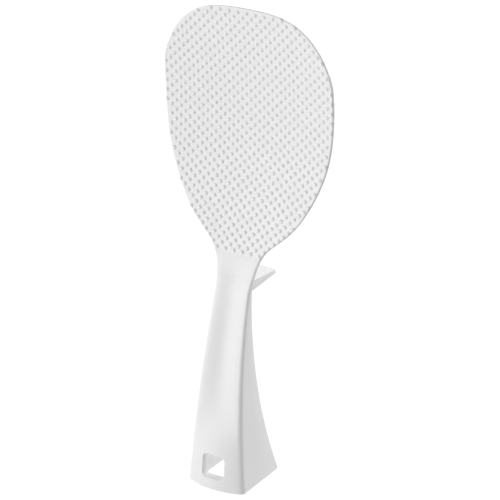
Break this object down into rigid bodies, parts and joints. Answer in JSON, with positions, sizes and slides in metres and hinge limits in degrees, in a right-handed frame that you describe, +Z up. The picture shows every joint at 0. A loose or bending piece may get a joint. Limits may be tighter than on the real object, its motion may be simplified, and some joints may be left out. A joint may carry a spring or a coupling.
{
  "type": "rice paddle",
  "caption": "Self-standing rice paddle: nubbed spoon blade on an open-backed flared handle with a hanging window and a rear rest tab.",
  "frame": {"origin": "middle of the paddle's outer box on the table plane, under the foot", "axes": "+Z up the paddle from the foot to the blade's tip, +Y to the rear where the rest tab points, +X to the right seen from the front"},
  "size_m": [0.0768, 0.0324, 0.1986],
  "materials": {
    "polypropylene": "satin white moulded polypropylene"
  },
  "bodies": {
    "root": {"front_wall": "polypropylene", "left_wall": "polypropylene", "right_wall": "polypropylene", "rest_tab": "polypropylene", "neck": "polypropylene", "blade": "polypropylene"}
  },
  "joints": []
}
